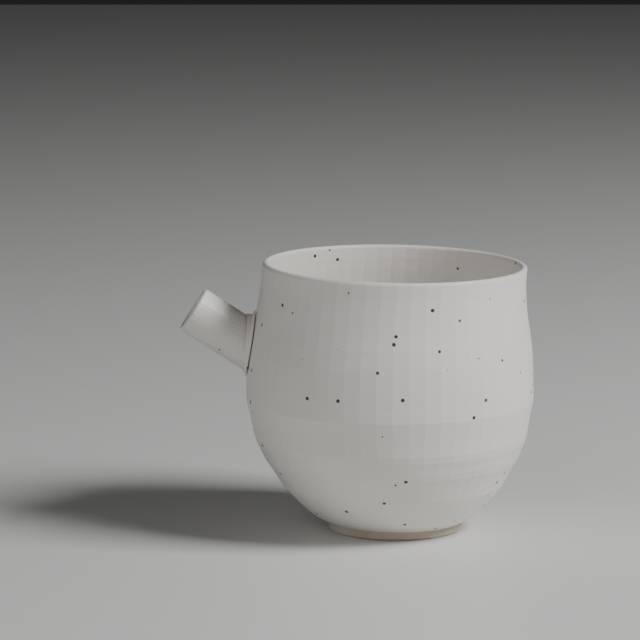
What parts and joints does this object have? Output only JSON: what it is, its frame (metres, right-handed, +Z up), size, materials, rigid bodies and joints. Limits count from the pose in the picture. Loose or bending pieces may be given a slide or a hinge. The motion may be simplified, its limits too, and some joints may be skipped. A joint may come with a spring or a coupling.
{
  "type": "tea pitcher",
  "caption": "Hand-thrown open ceramic tea pitcher with a round belly, a soft neck, a foot ring and a straight tubular spout that points up and out.",
  "frame": {"origin": "on the table, under the middle of the whole pitcher's length and width, spout included", "axes": "+Z up; the spout points along -X; the pitcher is mirror-symmetric about the XZ plane"},
  "size_m": [0.1106, 0.09, 0.0847],
  "materials": {
    "speckled_glaze": "satin white glaze with fine iron specks",
    "bare_clay": "matt unglazed clay"
  },
  "bodies": {
    "root": {"bowl": "speckled_glaze", "foot_ring": "bare_clay", "spout_tube": "speckled_glaze", "joining_coil": "speckled_glaze"}
  },
  "joints": []
}
